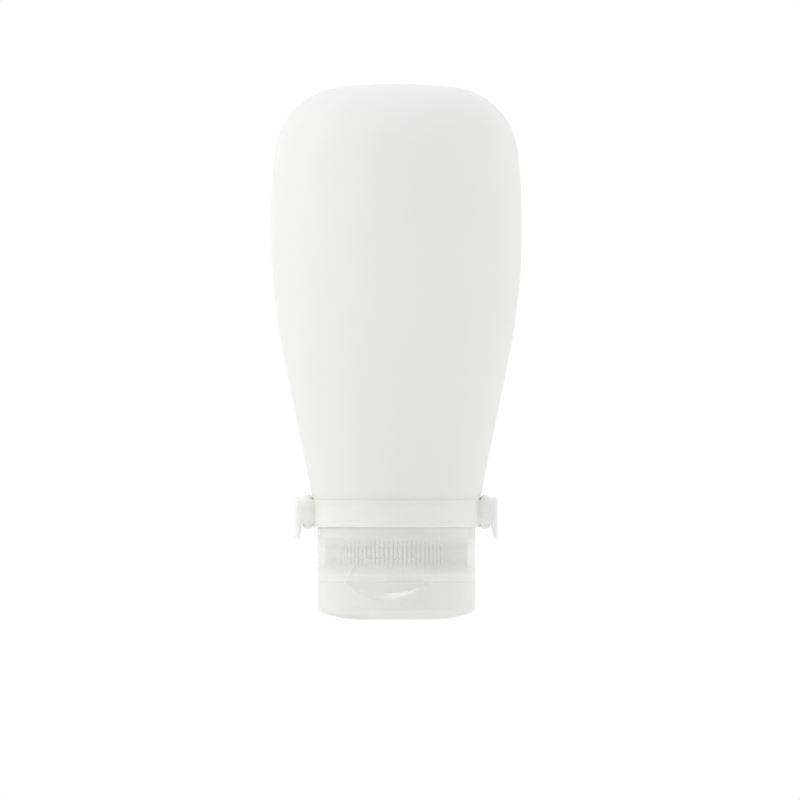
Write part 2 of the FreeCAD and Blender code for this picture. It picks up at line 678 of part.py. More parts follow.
os.makedirs("parts", exist_ok=True)
for body in bodies:
    body.Shape.exportStep("parts/" + body.Label + ".step")
    box = body.Shape.BoundBox
    reach = [round(size, 2) for size in (box.ZMin, box.ZMax, box.XLength, box.YLength)]
    print(body.Label, round(body.Shape.Volume, 1), reach)
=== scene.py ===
import json
import math

import bmesh
import bpy
import numpy as np
from mathutils import Matrix, Vector

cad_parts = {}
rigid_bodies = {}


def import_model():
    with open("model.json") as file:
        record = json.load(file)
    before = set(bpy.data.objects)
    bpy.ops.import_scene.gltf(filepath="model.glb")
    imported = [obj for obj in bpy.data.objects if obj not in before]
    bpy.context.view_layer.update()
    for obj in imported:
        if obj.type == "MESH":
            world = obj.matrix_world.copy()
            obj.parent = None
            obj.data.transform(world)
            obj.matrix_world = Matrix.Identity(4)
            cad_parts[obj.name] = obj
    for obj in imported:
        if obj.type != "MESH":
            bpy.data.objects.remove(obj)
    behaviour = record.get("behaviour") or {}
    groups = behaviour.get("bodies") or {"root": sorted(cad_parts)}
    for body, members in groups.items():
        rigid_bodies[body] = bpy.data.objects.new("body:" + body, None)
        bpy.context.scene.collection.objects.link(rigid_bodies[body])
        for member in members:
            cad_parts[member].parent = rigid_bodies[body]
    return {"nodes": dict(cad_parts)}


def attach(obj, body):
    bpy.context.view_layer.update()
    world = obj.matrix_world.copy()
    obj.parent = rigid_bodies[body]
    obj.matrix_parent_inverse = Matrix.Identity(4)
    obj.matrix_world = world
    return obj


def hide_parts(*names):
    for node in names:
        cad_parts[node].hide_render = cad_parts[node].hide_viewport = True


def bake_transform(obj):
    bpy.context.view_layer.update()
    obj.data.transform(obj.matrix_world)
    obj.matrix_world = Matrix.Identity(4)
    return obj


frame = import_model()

mm = 0.001
bpy.context.view_layer.update()
nodes = frame["nodes"]
print("frame loaded:", len(nodes), "nodes")


def linearColour(hexText):
    levels = [int(hexText[start:start + 2], 16) / 255 for start in (1, 3, 5)]
    return tuple(v / 12.92 if v <= 0.04045 else ((v + 0.055) / 1.055) ** 2.4 for v in levels) + (1.0,)


# settings holds a node's own attributes or its input values, links its input sockets
# In a colour mix, input 0 is the share, 6 and 7 are the two colours, and output 2 is the result
def addNode(tree, kind, settings=None, links=None):
    node = tree.nodes.new(kind)
    for name, value in (settings or {}).items():
        if isinstance(name, str) and hasattr(node, name):
            setattr(node, name, value)
        else:
            node.inputs[name].default_value = value
    for name, source in (links or {}).items():
        tree.links.new(source, node.inputs[name])
    return node


def newMaterial(name):
    material = bpy.data.materials.new(name)
    material.use_nodes = True
    material.node_tree.nodes.clear()
    return material, material.node_tree


# Platinum-cured silicone, moulded in a blasted tool: milky, light soaks in and comes back out,
# so shading is soft, with a wide dull sheen and a grain that is felt more than seen
silicone = {
    "upper": "#F5F5F5", "lower": "#F0F0ED", "lowerEnd": 24 * mm, "upperStart": 80 * mm,
    "cloud": "#EEEEEC", "cloudSize": 24 * mm, "cloudStart": 0.35, "cloudFull": 0.75, "cloudShare": 0.5,
    "gritSize": 0.7 * mm,       # the blasted grit is nearer 0.1 mm, drawn coarse enough to show
    "gritBump": 0.05, "gritDepth": 0.06 * mm, "glossiest": 0.44, "dullest": 0.56,
    "waveSize": 9 * mm, "waveBump": 0.06, "waveDepth": 0.4 * mm,
    "soak": 0.12, "soakDepth": 1.6 * mm, "soakTint": (1.0, 0.95, 0.85),
}
siliconeFrostedMoulded, tree = newMaterial("siliconeFrostedMoulded")
place = addNode(tree, "ShaderNodeTexCoord")
split = addNode(tree, "ShaderNodeSeparateXYZ", None, {"Vector": place.outputs["Object"]})
rise = addNode(tree, "ShaderNodeMapRange", {"From Min": silicone["lowerEnd"], "From Max": silicone["upperStart"]},
               {"Value": split.outputs["Z"]})
tone = addNode(tree, "ShaderNodeMix",
               {"data_type": "RGBA", 6: linearColour(silicone["lower"]), 7: linearColour(silicone["upper"])},
               {0: rise.outputs["Result"]})
cloud = addNode(tree, "ShaderNodeTexNoise", {"Scale": 1 / silicone["cloudSize"], "Detail": 3.0},
                {"Vector": place.outputs["Object"]})
cloudy = addNode(tree, "ShaderNodeMapRange", {
    "From Min": silicone["cloudStart"], "From Max": silicone["cloudFull"], "To Max": silicone["cloudShare"],
}, {"Value": cloud.outputs["Fac"]})
colour = addNode(tree, "ShaderNodeMix", {"data_type": "RGBA", 7: linearColour(silicone["cloud"])},
                 {0: cloudy.outputs["Result"], 6: tone.outputs[2]})
grit = addNode(tree, "ShaderNodeTexNoise", {"Scale": 1 / silicone["gritSize"], "Detail": 2.0},
               {"Vector": place.outputs["Object"]})
wave = addNode(tree, "ShaderNodeTexNoise", {"Scale": 1 / silicone["waveSize"], "Detail": 1.0},
               {"Vector": place.outputs["Object"]})
dull = addNode(tree, "ShaderNodeMapRange", {"To Min": silicone["glossiest"], "To Max": silicone["dullest"]},
               {"Value": grit.outputs["Fac"]})
soft = addNode(tree, "ShaderNodeBump", {"Strength": silicone["waveBump"], "Distance": silicone["waveDepth"]},
               {"Height": wave.outputs["Fac"]})
frost = addNode(tree, "ShaderNodeBump", {"Strength": silicone["gritBump"], "Distance": silicone["gritDepth"]},
                {"Height": grit.outputs["Fac"], "Normal": soft.outputs["Normal"]})
skin = addNode(tree, "ShaderNodeBsdfPrincipled", {
    "IOR": 1.41, "Subsurface Weight": silicone["soak"],
    "Subsurface Radius": silicone["soakTint"], "Subsurface Scale": silicone["soakDepth"],
}, {"Base Color": colour.outputs[2], "Roughness": dull.outputs["Result"], "Normal": frost.outputs["Normal"]})
addNode(tree, "ShaderNodeOutputMaterial", None, {"Surface": skin.outputs["BSDF"]})

# Natural polypropylene with a little white in it, moulded in a satin tool: milky and faintly warm,
# clearer highlights than the silicone, slow flow marks round the band, and light that soaks through the thin lugs,
# which are also painted a paler tint as painted light for that glow
collarPlastic = {
    "pale": "#F5F5F1", "deep": "#F2F2ED", "lug": "#F9F9F5", "glossiest": 0.16, "dullest": 0.22,
    "flowSize": 7 * mm, "flowStretch": (1.0, 1.0, 3.0), "flowStart": 0.3, "flowFull": 0.7,
    "bandSoak": 0.3, "lugSoak": 1.0, "bandEnd": 16.4 * mm, "lugStart": 17.2 * mm,
    "soakDepth": 2.0 * mm, "soakTint": (1.0, 0.98, 0.95),
}
polypropyleneSatinMoulded, tree = newMaterial("polypropyleneSatinMoulded")
place = addNode(tree, "ShaderNodeTexCoord")
stretch = addNode(tree, "ShaderNodeMapping", {"Scale": collarPlastic["flowStretch"]},
                  {"Vector": place.outputs["Object"]})
flow = addNode(tree, "ShaderNodeTexNoise", {"Scale": 1 / collarPlastic["flowSize"], "Detail": 1.5, "Distortion": 0.2},
               {"Vector": stretch.outputs["Vector"]})
marks = addNode(tree, "ShaderNodeMapRange",
                {"From Min": collarPlastic["flowStart"], "From Max": collarPlastic["flowFull"]},
                {"Value": flow.outputs["Fac"]})
colour = addNode(tree, "ShaderNodeMix",
                 {"data_type": "RGBA", 6: linearColour(collarPlastic["pale"]), 7: linearColour(collarPlastic["deep"])},
                 {0: marks.outputs["Result"]})
sheen = addNode(tree, "ShaderNodeMapRange",
                {"To Min": collarPlastic["glossiest"], "To Max": collarPlastic["dullest"]},
                {"Value": flow.outputs["Fac"]})
split = addNode(tree, "ShaderNodeSeparateXYZ", None, {"Vector": place.outputs["Object"]})
aside = addNode(tree, "ShaderNodeMath", {"operation": "ABSOLUTE"}, {0: split.outputs["X"]})
thin = addNode(tree, "ShaderNodeMapRange",
               {"From Min": collarPlastic["bandEnd"], "From Max": collarPlastic["lugStart"]},
               {"Value": aside.outputs["Value"]})
soak = addNode(tree, "ShaderNodeMapRange", {"To Min": collarPlastic["bandSoak"], "To Max": collarPlastic["lugSoak"]},
               {"Value": thin.outputs["Result"]})
# Painted light: the lugs are coloured paler to stand in for the light that shines through them
lugGlowMix = addNode(tree, "ShaderNodeMix", {"data_type": "RGBA", 7: linearColour(collarPlastic["lug"])},
               {0: thin.outputs["Result"], 6: colour.outputs[2]})
skin = addNode(tree, "ShaderNodeBsdfPrincipled", {
    "IOR": 1.49, "Subsurface Radius": collarPlastic["soakTint"], "Subsurface Scale": collarPlastic["soakDepth"],
}, {
    "Base Color": lugGlowMix.outputs[2], "Roughness": sheen.outputs["Result"], "Subsurface Weight": soak.outputs["Result"],
})
addNode(tree, "ShaderNodeOutputMaterial", None, {"Surface": skin.outputs["BSDF"]})

# Clarified polypropylene, moulded in a polished tool: half see-through, a haze that sits in the outer skin
# and fills the thick end of the cap, sharp reflections and faint upright flow streaks from the gate
clearPlastic = {
    "pale": "#FEFEFD", "deep": "#F9F9F8", "hazeSize": 5 * mm, "glossiest": 0.03, "dullest": 0.07,
    "streakSize": 2.2 * mm, "streakStretch": (1.0, 1.0, 0.15), "streakBump": 0.05, "streakDepth": 0.1 * mm,
    "skinHaze": 0.4, "boreHaze": 0.0, "endHaze": 0.86, "rimHaze": 0.8,
    "boreEnd": 13.88 * mm, "skinStart": 14.1 * mm,      # from the axis
    "thickEnd": 8.55 * mm, "deckTop": 8.64 * mm, "thinStart": 11.2 * mm, "rimStart": 14.0 * mm, "rimFull": 16.2 * mm,
}
polypropyleneClearPolished, tree = newMaterial("polypropyleneClearPolished")
place = addNode(tree, "ShaderNodeTexCoord")
stretch = addNode(tree, "ShaderNodeMapping", {"Scale": clearPlastic["streakStretch"]},
                  {"Vector": place.outputs["Object"]})
streak = addNode(tree, "ShaderNodeTexNoise", {"Scale": 1 / clearPlastic["streakSize"], "Detail": 2.0},
                 {"Vector": stretch.outputs["Vector"]})
cloud = addNode(tree, "ShaderNodeTexNoise", {"Scale": 1 / clearPlastic["hazeSize"], "Detail": 3.0},
                {"Vector": place.outputs["Object"]})
colour = addNode(tree, "ShaderNodeMix",
                 {"data_type": "RGBA", 6: linearColour(clearPlastic["pale"]), 7: linearColour(clearPlastic["deep"])},
                 {0: cloud.outputs["Fac"]})
polish = addNode(tree, "ShaderNodeMapRange",
                 {"To Min": clearPlastic["glossiest"], "To Max": clearPlastic["dullest"]},
                 {"Value": cloud.outputs["Fac"]})
ripple = addNode(tree, "ShaderNodeBump",
                 {"Strength": clearPlastic["streakBump"], "Distance": clearPlastic["streakDepth"]},
                 {"Height": streak.outputs["Fac"]})
split = addNode(tree, "ShaderNodeSeparateXYZ", None, {"Vector": place.outputs["Object"]})
flat = addNode(tree, "ShaderNodeCombineXYZ", None, {"X": split.outputs["X"], "Y": split.outputs["Y"]})
fromAxis = addNode(tree, "ShaderNodeVectorMath", {"operation": "LENGTH"}, {0: flat.outputs["Vector"]})
outer = addNode(tree, "ShaderNodeMapRange", {
    "From Min": clearPlastic["deckTop"], "From Max": clearPlastic["thinStart"],
    "To Min": clearPlastic["endHaze"], "To Max": clearPlastic["skinHaze"],
}, {"Value": split.outputs["Z"]})
rim = addNode(tree, "ShaderNodeMapRange", {
    "From Min": clearPlastic["rimStart"], "From Max": clearPlastic["rimFull"], "To Max": clearPlastic["rimHaze"],
}, {"Value": split.outputs["Z"], "To Min": outer.outputs["Result"]})
wall = addNode(tree, "ShaderNodeMapRange", {
    "From Min": clearPlastic["boreEnd"], "From Max": clearPlastic["skinStart"], "To Min": clearPlastic["boreHaze"],
}, {"Value": fromAxis.outputs["Value"], "To Max": rim.outputs["Result"]})
haze = addNode(tree, "ShaderNodeMapRange", {
    "From Min": clearPlastic["thickEnd"], "From Max": clearPlastic["deckTop"], "To Min": clearPlastic["endHaze"],
}, {"Value": split.outputs["Z"], "To Max": wall.outputs["Result"]})
skin = addNode(tree, "ShaderNodeBsdfPrincipled", {"IOR": 1.49}, {
    "Base Color": colour.outputs[2], "Roughness": polish.outputs["Result"], "Normal": ripple.outputs["Normal"],
    "Alpha": haze.outputs["Result"],
})
addNode(tree, "ShaderNodeOutputMaterial", None, {"Surface": skin.outputs["BSDF"]})

# The same plastic undyed, moulded with fine ribs: the grooves are painted darker as painted shade,
# and the turns of the thread inside are painted as paler lines on the crests, a painted highlight for the thread seen
# through the wall
ribbedPlastic = {
    "crest": "#FFFFFC", "groove": "#E3E3DF", "thread": "#FFFFFF",
    "grooveRadius": 13.45 * mm, "crestRadius": 13.78 * mm, "pitch": 3.0 * mm, "start": 1.1 * mm,
    "threadShare": 0.14, "roughness": 0.15,
}
polypropyleneRibbedMoulded, tree = newMaterial("polypropyleneRibbedMoulded")
place = addNode(tree, "ShaderNodeTexCoord")
split = addNode(tree, "ShaderNodeSeparateXYZ", None, {"Vector": place.outputs["Object"]})
flat = addNode(tree, "ShaderNodeCombineXYZ", None, {"X": split.outputs["X"], "Y": split.outputs["Y"]})
fromAxis = addNode(tree, "ShaderNodeVectorMath", {"operation": "LENGTH"}, {0: flat.outputs["Vector"]})
crest = addNode(tree, "ShaderNodeMapRange",
                {"From Min": ribbedPlastic["grooveRadius"], "From Max": ribbedPlastic["crestRadius"]},
                {"Value": fromAxis.outputs["Value"]})
# Painted shade: the colour darkens from the rib crests down into the grooves
ribs = addNode(tree, "ShaderNodeMix",
               {"data_type": "RGBA", 6: linearColour(ribbedPlastic["groove"]), 7: linearColour(ribbedPlastic["crest"])},
               {0: crest.outputs["Result"]})
turn = addNode(tree, "ShaderNodeMath", {"operation": "ARCTAN2"}, {0: split.outputs["X"], 1: split.outputs["Y"]})
lead = addNode(tree, "ShaderNodeMath", {
    "operation": "MULTIPLY_ADD", 1: ribbedPlastic["pitch"] / (2 * math.pi), 2: -ribbedPlastic["start"],
}, {0: turn.outputs["Value"]})
climb = addNode(tree, "ShaderNodeMath", {"operation": "ADD"}, {0: split.outputs["Z"], 1: lead.outputs["Value"]})
fromTurn = addNode(tree, "ShaderNodeMath", {"operation": "PINGPONG", 1: ribbedPlastic["pitch"] / 2},
                   {0: climb.outputs["Value"]})
# Painted highlight: the thread's turns are painted as pale lines on the crests, standing in for the thread glinting
# through the wall
line = addNode(tree, "ShaderNodeMapRange", {
    "interpolation_type": "SMOOTHSTEP",
    "From Min": 0.0, "From Max": ribbedPlastic["pitch"] * ribbedPlastic["threadShare"], "To Min": 1.0, "To Max": 0.0,
}, {"Value": fromTurn.outputs["Value"]})
shine = addNode(tree, "ShaderNodeMath", {"operation": "MULTIPLY"},
                {0: line.outputs["Result"], 1: crest.outputs["Result"]})
colour = addNode(tree, "ShaderNodeMix", {"data_type": "RGBA", 7: linearColour(ribbedPlastic["thread"])},
                 {0: shine.outputs["Value"], 6: ribs.outputs[2]})
skin = addNode(tree, "ShaderNodeBsdfPrincipled", {"IOR": 1.49, "Roughness": ribbedPlastic["roughness"]},
               {"Base Color": colour.outputs[2]})
addNode(tree, "ShaderNodeOutputMaterial", None, {"Surface": skin.outputs["BSDF"]})

# Natural polypropylene, moulded: cloudy, lets light through without a clear view
naturalPlastic = {
    "pale": "#FCFCF9", "deep": "#F6F6F2", "cloudSize": 4 * mm, "glossiest": 0.2, "dullest": 0.34,
    "soak": 0.2, "soakDepth": 0.7 * mm, "soakTint": (1.0, 0.99, 0.95),
}
polypropyleneNaturalMoulded, tree = newMaterial("polypropyleneNaturalMoulded")
place = addNode(tree, "ShaderNodeTexCoord")
cloud = addNode(tree, "ShaderNodeTexNoise", {"Scale": 1 / naturalPlastic["cloudSize"], "Detail": 3.0},
                {"Vector": place.outputs["Object"]})
colour = addNode(tree, "ShaderNodeMix", {
    "data_type": "RGBA", 6: linearColour(naturalPlastic["pale"]), 7: linearColour(naturalPlastic["deep"]),
}, {0: cloud.outputs["Fac"]})
polish = addNode(tree, "ShaderNodeMapRange",
                 {"To Min": naturalPlastic["glossiest"], "To Max": naturalPlastic["dullest"]},
                 {"Value": cloud.outputs["Fac"]})
skin = addNode(tree, "ShaderNodeBsdfPrincipled", {
    "IOR": 1.49, "Subsurface Weight": naturalPlastic["soak"],
    "Subsurface Radius": naturalPlastic["soakTint"], "Subsurface Scale": naturalPlastic["soakDepth"],
}, {"Base Color": colour.outputs[2], "Roughness": polish.outputs["Result"]})
addNode(tree, "ShaderNodeOutputMaterial", None, {"Surface": skin.outputs["BSDF"]})

# Foamed polyethylene, cut from sheet: white and dull, closed cells that pit the surface
linerFoam = {
    "pale": "#F4F4F1", "deep": "#E4E4DF", "cellSize": 0.35 * mm, "pitBump": 0.3, "pitDepth": 0.05 * mm,
    "roughness": 0.62,
}
polyethyleneFoamCut, tree = newMaterial("polyethyleneFoamCut")
place = addNode(tree, "ShaderNodeTexCoord")
cells = addNode(tree, "ShaderNodeTexVoronoi", {"Scale": 1 / linerFoam["cellSize"]},
                {"Vector": place.outputs["Object"]})
colour = addNode(tree, "ShaderNodeMix",
                 {"data_type": "RGBA", 6: linearColour(linerFoam["deep"]), 7: linearColour(linerFoam["pale"])},
                 {0: cells.outputs["Distance"]})
pits = addNode(tree, "ShaderNodeBump", {"Strength": linerFoam["pitBump"], "Distance": linerFoam["pitDepth"]},
               {"Height": cells.outputs["Distance"]})
skin = addNode(tree, "ShaderNodeBsdfPrincipled", {"IOR": 1.5, "Roughness": linerFoam["roughness"]},
               {"Base Color": colour.outputs[2], "Normal": pits.outputs["Normal"]})
addNode(tree, "ShaderNodeOutputMaterial", None, {"Surface": skin.outputs["BSDF"]})

# Soft silicone, moulded smooth: milky and a little glossy
valveRubber = {
    "pale": "#F3F3F0", "deep": "#E8E8E4", "cloudSize": 2 * mm, "glossiest": 0.3, "dullest": 0.42,
    "soak": 0.3, "soakDepth": 0.8 * mm,
}
siliconeSmoothMoulded, tree = newMaterial("siliconeSmoothMoulded")
place = addNode(tree, "ShaderNodeTexCoord")
cloud = addNode(tree, "ShaderNodeTexNoise", {"Scale": 1 / valveRubber["cloudSize"], "Detail": 2.0},
                {"Vector": place.outputs["Object"]})
colour = addNode(tree, "ShaderNodeMix",
                 {"data_type": "RGBA", 6: linearColour(valveRubber["pale"]), 7: linearColour(valveRubber["deep"])},
                 {0: cloud.outputs["Fac"]})
dull = addNode(tree, "ShaderNodeMapRange", {"To Min": valveRubber["glossiest"], "To Max": valveRubber["dullest"]},
               {"Value": cloud.outputs["Fac"]})
skin = addNode(tree, "ShaderNodeBsdfPrincipled", {
    "IOR": 1.41, "Subsurface Weight": valveRubber["soak"], "Subsurface Scale": valveRubber["soakDepth"],
}, {"Base Color": colour.outputs[2], "Roughness": dull.outputs["Result"]})
addNode(tree, "ShaderNodeOutputMaterial", None, {"Surface": skin.outputs["BSDF"]})
print("materials made:", len(bpy.data.materials))


# Rounds the corners of a section: corners are (radius, height, rounding), all in millimetres
def roundedSection(corners, steps=5, closed=True):
    points = []
    count = len(corners)
    for number, (across, up, rounding) in enumerate(corners):
        here = np.array((across, up), float)
        if rounding == 0 or (not closed and number in (0, count - 1)):
            points.append(here)
            continue
        before = np.array(corners[number - 1][:2], float) - here
        after = np.array(corners[(number + 1) % count][:2], float) - here
        before /= np.linalg.norm(before)
        after /= np.linalg.norm(after)
        half = math.acos(np.clip(before @ after, -1, 1)) / 2
        reach = rounding / math.tan(half)
        middle = (before + after) / np.linalg.norm(before + after)
        centre = here + middle * rounding / math.sin(half)
        first, last = here + before * reach - centre, here + after * reach - centre
        start = math.atan2(first[1], first[0])
        sweep = math.atan2(last[1], last[0]) - start
        sweep = (sweep + math.pi) % (2 * math.pi) - math.pi
        for step in range(steps + 1):
            angle = start + sweep * step / steps
            points.append(centre + rounding * np.array((math.cos(angle), math.sin(angle))))
    return points


# Adds points along the long runs of a section, so that no run is longer than gap,
# and one close to each end of a run, so that rounded edges don't shade the flats beside them
def filledSection(points, gap, closed=True, hold=0.1):
    filled = []
    for number, here in enumerate(points):
        filled.append(here)
        if not closed and number == len(points) - 1:
            break
        after = points[(number + 1) % len(points)]
        run = np.array(after) - np.array(here)
        length = np.linalg.norm(run)
        parts = max(1, math.ceil(length / gap))
        shares = [step / parts for step in range(1, parts)]
        if length > 4 * hold:
            middle = [share for share in shares if 2 * hold < share * length < length - 2 * hold]
            shares = [hold / length, *middle, 1 - hold / length]
        filled += [np.array(here) + run * share for share in shares]
    return filled


def evenAngles(count, shift=0):
    return [2 * math.pi * (turn + shift) / count for turn in range(count)]


# Turns a section round the axis; shape gives the new radius for an (angle, radius, height)
# A section that isn't closed starts and ends on the axis
def turnedPiece(name, section, angles, shape=None, closed=True):
    rows = section if closed else section[1:-1]
    count, turns = len(rows), len(angles)
    places, faces = [], []
    for angle in angles:
        for across, up in rows:
            if shape:
                across = shape(angle, across, up)
            places.append((across * math.sin(angle) * mm, -across * math.cos(angle) * mm, up * mm))
    for turn in range(turns):
        here, there = turn * count, (turn + 1) % turns * count
        for row in range(count if closed else count - 1):
            after = (row + 1) % count
            faces.append((here + row, there + row, there + after, here + after))
        if not closed:
            faces.append((turns * count, there, here))
            faces.append((turns * count + 1, here + count - 1, there + count - 1))
    if not closed:
        places += [(0, 0, section[0][1] * mm), (0, 0, section[-1][1] * mm)]
    return meshPiece(name, places, faces)


# Points closer than joinGap become one, and all faces are turned outwards
def meshPiece(name, places, faces, joinGap=0.0005 * mm):
    mesh = bpy.data.meshes.new(name)
    mesh.from_pydata(places, [], faces)
    surface = bmesh.new()
    surface.from_mesh(mesh)
    bmesh.ops.remove_doubles(surface, verts=surface.verts, dist=joinGap)
    bmesh.ops.recalc_face_normals(surface, faces=surface.faces)
    surface.to_mesh(mesh)
    surface.free()
    mesh.shade_smooth()
    piece = bpy.data.objects.new(name, mesh)
    bpy.context.scene.collection.objects.link(piece)
    return piece


# Joins the tools to a piece, or cuts them out of it, into one new piece
def combinedPiece(name, piece, tools, operation):
    for tool in tools:
        step = piece.modifiers.new("combine", "BOOLEAN")
        step.operation, step.solver, step.object = operation, "EXACT", tool
    mesh = bpy.data.meshes.new_from_object(piece.evaluated_get(bpy.context.evaluated_depsgraph_get()))
    mesh.name = name
    mesh.materials.clear()
    made = bpy.data.objects.new(name, mesh)
    bpy.context.scene.collection.objects.link(made)
    for spare in (piece, *tools):
        bpy.data.meshes.remove(spare.data)
    return made


# Points on an arc whose normal leans from one angle to another, measured from straight up
def leaningArc(centre, radius, first, last, steps):
    leans = [first + (last - first) * step / steps for step in range(steps + 1)]
    return [(centre[0] + radius * math.sin(lean), centre[1] + radius * math.cos(lean)) for lean in leans]


# Soft body in millimetres: crown, corner and belly are tangent arcs, the taper below is straight
body = {
    "wall": 2.2,
    "neckRadius": 13.6, "lipHeight": 17.75,
    "shoulderRadius": 16.4, "shoulderHeight": 23.65,
    "edgeMiddle": (16.09, 23.28), "edgeRound": 0.125, "edgeLean": math.radians(68),   # drapes over the collar's edge
    "bellyRadius": 24.35, "bellyArc": 130.0, "taperSlope": 0.199,
    "cornerRise": 14.5, "cornerArc": 14.0, "crownArc": 100.0,
    "lipRound": 0.3, "tubeRound": 0.2, "floorRound": 1.2,
    "crownSteps": 14, "cornerSteps": 30, "bellySteps": 44, "edgeSteps": 8,
    "rowGap": 1.2, "turns": 240, "sharpAngle": math.radians(50),
}
taperLean = math.atan(body["taperSlope"])
bellyAcross = body["bellyRadius"] - body["bellyArc"]
taperRadius = bellyAcross + body["bellyArc"] * math.cos(taperLean)
taperHeight = body["shoulderHeight"] + (taperRadius - body["shoulderRadius"]) / body["taperSlope"]
bellyUp = taperHeight + body["bellyArc"] * math.sin(taperLean)
sideLean = math.acos(body["cornerRise"] / body["bellyArc"])
cornerReach = body["bellyArc"] - body["cornerArc"]
cornerAcross = bellyAcross + cornerReach * math.sin(sideLean)
cornerUp = bellyUp + cornerReach * math.cos(sideLean)
crownLean = math.asin(cornerAcross / (body["crownArc"] - body["cornerArc"]))
crownUp = cornerUp - (body["crownArc"] - body["cornerArc"]) * math.cos(crownLean)


# Upper line of the body, set in from the outside by depth
def bodyLine(depth):
    crown = leaningArc((0, crownUp), body["crownArc"] - depth, 0, crownLean, body["crownSteps"])
    corner = leaningArc((cornerAcross, cornerUp), body["cornerArc"] - depth, crownLean, sideLean, body["cornerSteps"])
    belly = leaningArc((bellyAcross, bellyUp), body["bellyArc"] - depth, sideLean, math.pi / 2 + taperLean,
                       body["bellySteps"])
    return crown + corner[1:] + belly[1:]


outside, inside = bodyLine(0), bodyLine(body["wall"])
floorHeight = body["shoulderHeight"] + body["wall"]
drape = leaningArc(body["edgeMiddle"], body["edgeRound"], body["edgeLean"], 0, body["edgeSteps"])
floorRadius = inside[-1][0] - body["taperSlope"] * (inside[-1][1] - floorHeight)
tubeRadius = body["neckRadius"] - body["wall"]
neck = roundedSection([
    (*outside[-1], 0),
    *[(*point, 0) for point in drape],
    (body["neckRadius"], drape[-1][1], body["lipRound"]),
    (body["neckRadius"], body["lipHeight"], body["lipRound"]),
    (tubeRadius, body["lipHeight"], body["lipRound"]),
    (tubeRadius, floorHeight, body["tubeRound"]),
    (floorRadius, floorHeight, body["floorRound"]),
    (*inside[-1], 0),
], closed=False)
section = outside[:-1] + filledSection(neck, body["rowGap"], closed=False) + inside[-2::-1]
siliconeBottle = turnedPiece("siliconeBottle", section, evenAngles(body["turns"]), closed=False)
siliconeBottle.data.set_sharp_from_angle(angle=body["sharpAngle"])
siliconeBottle.data.materials.append(siliconeFrostedMoulded)
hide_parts("squeeze_body")
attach(siliconeBottle, "bottle")
print("soft body:", len(siliconeBottle.data.polygons), "faces")

# Cap: shell and lid share one outer radius, one thumb scoop and the flat for the hinge strip
cap = {
    "radius": 15.3, "clocking": math.radians(-6.3),
    "lidTop": 7.285, "shellLow": 7.295, "shellTop": 17.89,
    "scoopLow": 3.6, "scoopLedge": 11.95, "scoopDepth": 1.1, "ledgeDepth": 0.42, "scoopAxis": 11.2,
    "ledgeRound": 0.14, "creaseRound": 0.05, "lipHeight": 0.18, "lipReach": 0.09,
    "rimShare": 0.45, "rimDepth": 0.74,
    "hingeFlat": 14.88, "notchLow": 6.06, "notchTop": 8.49, "notchRound": 0.05,
    "scoopFacing": 0.7, "hingeFacing": -0.9,        # cosines of the turn, past which neither reaches
    "turnRuns": ((-40, 40, 0.5), (40, 160, 2.5), (160, 200, 0.8), (200, 320, 2.5)),     # from, to, step in degrees
    "rowGap": 0.9,
}
capAngles = [math.radians(turn) + cap["clocking"] for run in cap["turnRuns"] for turn in np.arange(*run)]


def smoothStep(value, low, high):
    share = min(max((value - low) / (high - low), 0), 1)
    return share * share * (3 - 2 * share)


# How far the scoop and the hinge flat lie inside the cap's round outline
def capHollow(angle, up):
    turn = angle - cap["clocking"]
    inShell = up > (cap["lidTop"] + cap["shellLow"]) / 2
    if inShell:
        share = (up - cap["shellLow"]) / (cap["scoopLedge"] - cap["shellLow"])
        depth = cap["scoopDepth"] + (cap["ledgeDepth"] - cap["scoopDepth"]) * share
        fade = 1 - smoothStep(up, cap["scoopLedge"] - cap["ledgeRound"], cap["scoopLedge"] + cap["ledgeRound"])
        notch = 1 - smoothStep(up, cap["notchTop"] - cap["notchRound"], cap["notchTop"] + cap["notchRound"])
    else:
        depth = cap["scoopDepth"] * (up - cap["scoopLow"]) / (cap["lidTop"] - cap["scoopLow"])
        fade = 1
        notch = smoothStep(up, cap["notchLow"] - cap["notchRound"], cap["notchLow"] + cap["notchRound"])
    if math.cos(turn) > cap["scoopFacing"]:
        hollow, full = (
            cap["radius"] + cap["scoopAxis"] * math.cos(turn)
            - math.sqrt((cap["scoopAxis"] + cap["radius"] - deep) ** 2 - (cap["scoopAxis"] * math.sin(turn)) ** 2)
            for deep in (depth, cap["scoopDepth"])
        )
        if not inShell and full > 0 and hollow > 0:
            hollow = full * np.interp(hollow / full, (0, cap["rimShare"], 1), (0, cap["rimDepth"], 1))
        lip = cap["lipHeight"] * math.exp(-(hollow / cap["lipReach"]) ** 2)
        return fade * ((hollow + math.sqrt(hollow ** 2 + cap["creaseRound"] ** 2)) / 2 - lip)
    if math.cos(turn) < cap["hingeFacing"]:
        return notch * max(0, cap["radius"] + cap["hingeFlat"] / math.cos(turn))
    return 0


# Sets the outer face in by the hollow and fades that out towards the bore
def capShape(angle, across, up, bore):
    share = (across - bore) / (cap["radius"] - bore)
    return across - share * capHollow(angle, up) if share > 0 else across


